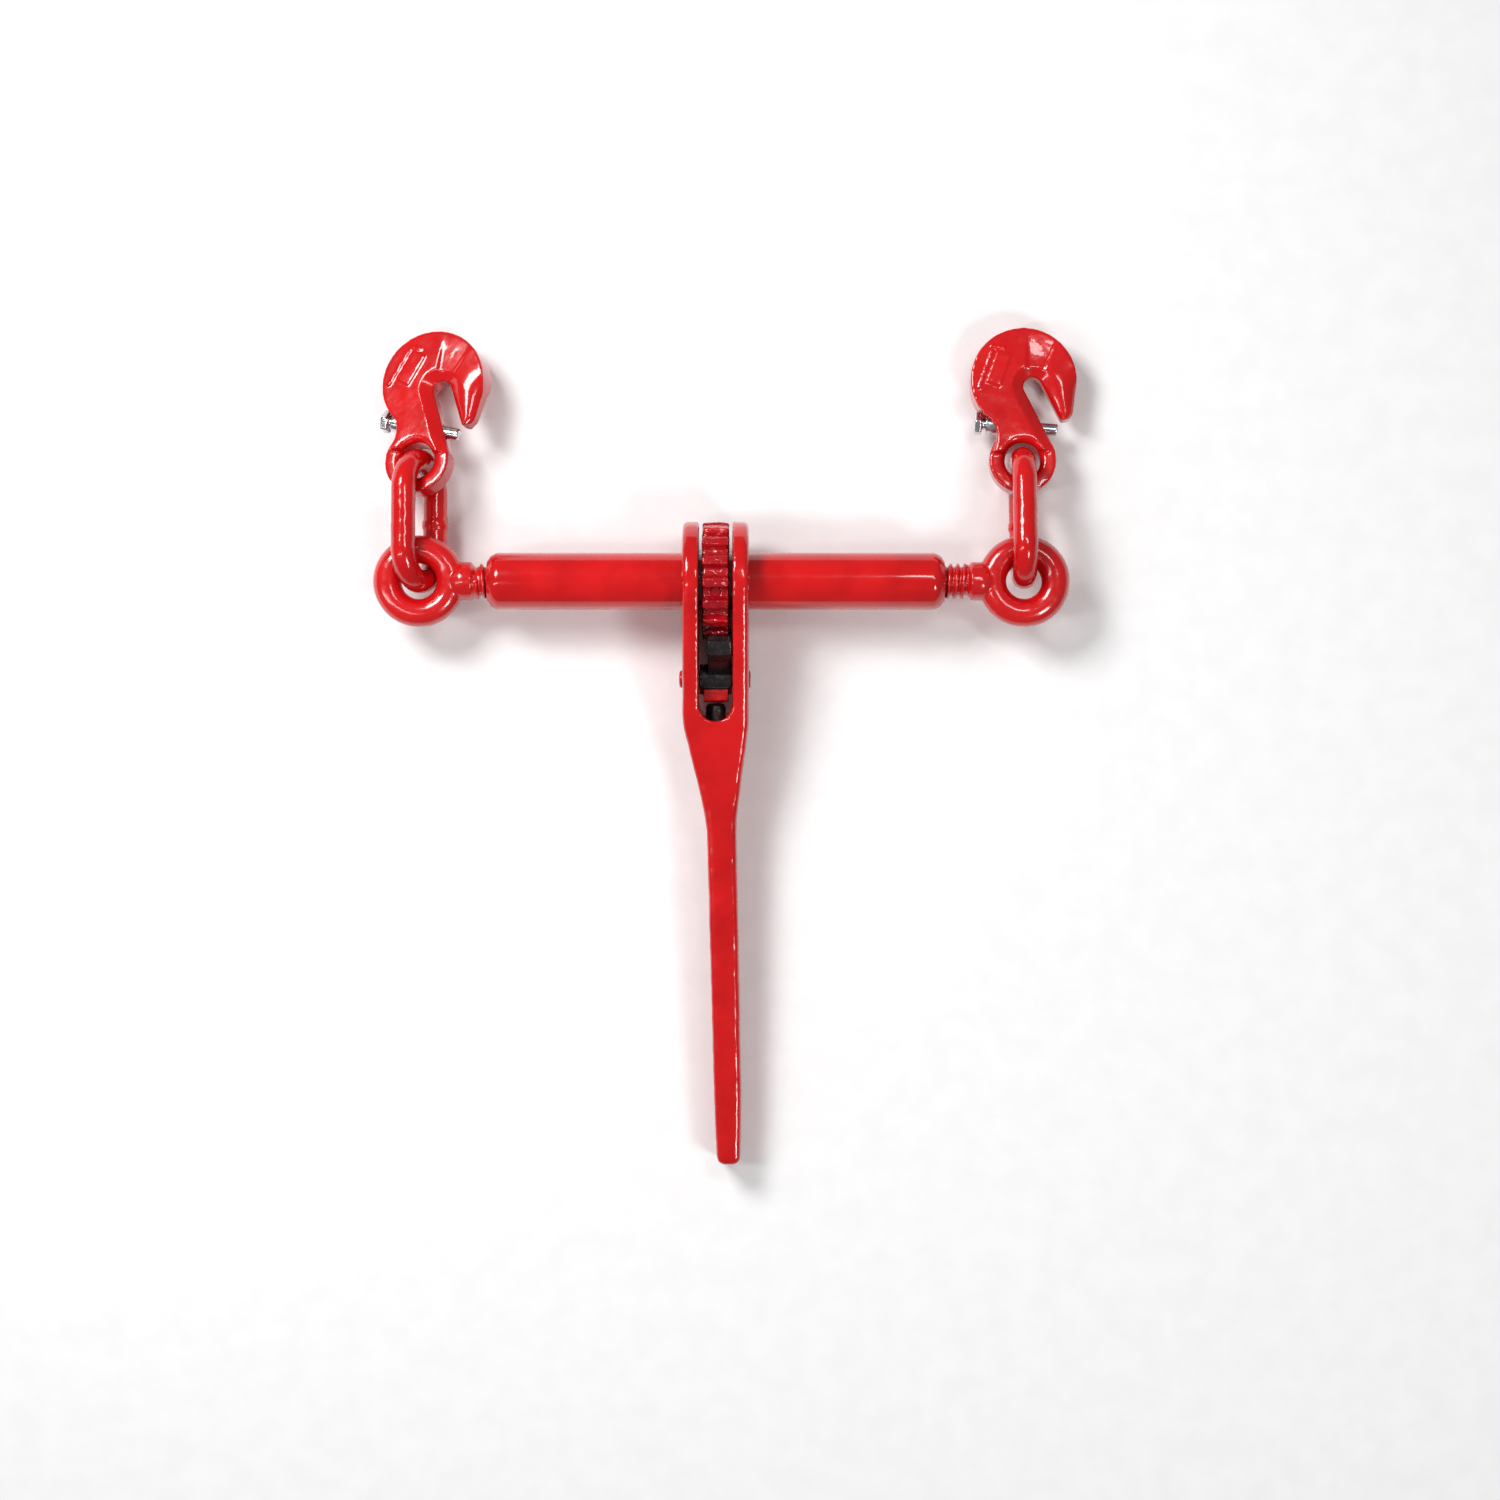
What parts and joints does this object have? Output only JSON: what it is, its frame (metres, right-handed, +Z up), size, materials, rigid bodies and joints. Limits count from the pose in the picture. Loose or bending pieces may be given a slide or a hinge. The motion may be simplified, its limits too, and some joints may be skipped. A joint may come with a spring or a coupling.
{
  "type": "ratchet load binder",
  "caption": "Ratchet load binder with a threaded barrel, forged fork handle, screw eyes, links and pinned grab hooks for tensioning tie-down chain.",
  "frame": {"origin": "centre of the barrel, on its axis, in the middle of the ratchet gear", "axes": "+X along the barrel to the right-hand eye, +Y towards the hooks with the handle lying towards -Y, +Z up from the floor that the binder lies on"},
  "size_m": [0.3952, 0.4719, 0.067],
  "materials": {
    "red_paint": "glossy red paint",
    "zinc_steel": "bright zinc plate",
    "dark_steel": "blackened steel",
    "spring_steel": "drawn spring wire"
  },
  "bodies": {
    "handle": {"handle": "red_paint", "pawl_pivot_pin": "red_paint", "plunger_spring": "spring_steel"},
    "pawl": {"pawl": "dark_steel"},
    "plunger": {"plunger": "dark_steel"},
    "barrel": {"barrel": "red_paint", "ratchet_gear": "red_paint", "gear_lock_pins": "dark_steel"},
    "screw_left": {"screw_eye_left": "red_paint", "stop_pin_left": "dark_steel"},
    "link_left": {"link_left": "red_paint"},
    "hook_left": {"hook_left": "red_paint", "pin_bush_left": "zinc_steel", "pin_spring_left": "spring_steel"},
    "latch_left": {"safety_pin_left": "zinc_steel", "pin_clip_left": "zinc_steel"},
    "screw_right": {"screw_eye_right": "red_paint", "stop_pin_right": "dark_steel"},
    "link_right": {"link_right": "red_paint"},
    "hook_right": {"hook_right": "red_paint", "pin_bush_right": "zinc_steel", "pin_spring_right": "spring_steel"},
    "latch_right": {"safety_pin_right": "zinc_steel", "pin_clip_right": "zinc_steel"}
  },
  "joints": [
    {"name": "barrel_turn", "type": "hinge", "parent": "handle", "child": "barrel", "pos_m": [0, 0, 0], "axis": [1, 0, 0], "range_deg": [-360, 6840]},
    {"name": "pawl_swing", "type": "hinge", "parent": "handle", "child": "pawl", "pos_m": [0, -0.05479, -0.00343], "axis": [1, 0, 0], "range_deg": [-16.5, 9.5]},
    {"name": "plunger_slide", "type": "slide", "parent": "handle", "child": "plunger", "axis": [0, -0.998, -0.0625], "range_m": [0, 0.0012], "stiffness_N_per_m": 1500, "springref_m": -0.004, "deforming": ["plunger_spring"]},
    {"name": "left_screw_slide", "type": "slide", "parent": "handle", "child": "screw_left", "axis": [-1, 0, 0], "range_m": [-0.004, 0.076]},
    {"name": "left_link_swing", "type": "hinge", "parent": "screw_left", "child": "link_left", "pos_m": [-0.1662, 0, 0], "axis": [0, 0, 1], "range_deg": [-20, 200]},
    {"name": "left_hook_swing", "type": "hinge", "parent": "link_left", "child": "hook_left", "pos_m": [-0.1662, 0.06676, -0.00429], "axis": [-0.4305, 0.0787, 0.8992], "range_deg": [-60, 60]},
    {"name": "left_pin_pull", "type": "slide", "parent": "hook_left", "child": "latch_left", "axis": [-0.9249, 0.1915, -0.3283], "range_m": [0, 0.008], "stiffness_N_per_m": 900, "springref_m": -0.006, "deforming": ["pin_spring_left"]},
    {"name": "right_screw_slide", "type": "slide", "parent": "handle", "child": "screw_right", "axis": [1, 0, 0], "range_m": [-0.004, 0.076]},
    {"name": "right_link_swing", "type": "hinge", "parent": "screw_right", "child": "link_right", "pos_m": [0.1725, 0, 0], "axis": [0, 0, 1], "range_deg": [-200, 20]},
    {"name": "right_hook_swing", "type": "hinge", "parent": "link_right", "child": "hook_right", "pos_m": [0.1725, 0.06781, -0.01313], "axis": [0, 0.2538, 0.9673], "range_deg": [-60, 60]},
    {"name": "right_pin_pull", "type": "slide", "parent": "hook_right", "child": "latch_right", "axis": [-0.9965, 0.0828, -0.0124], "range_m": [0, 0.008], "stiffness_N_per_m": 900, "springref_m": -0.006, "deforming": ["pin_spring_right"]}
  ],
  "couplings": [
    {"joint": "left_screw_slide", "follows": "barrel_turn", "m_per_rad": 0.00063662},
    {"joint": "right_screw_slide", "follows": "barrel_turn", "m_per_rad": 0.00063662}
  ]
}
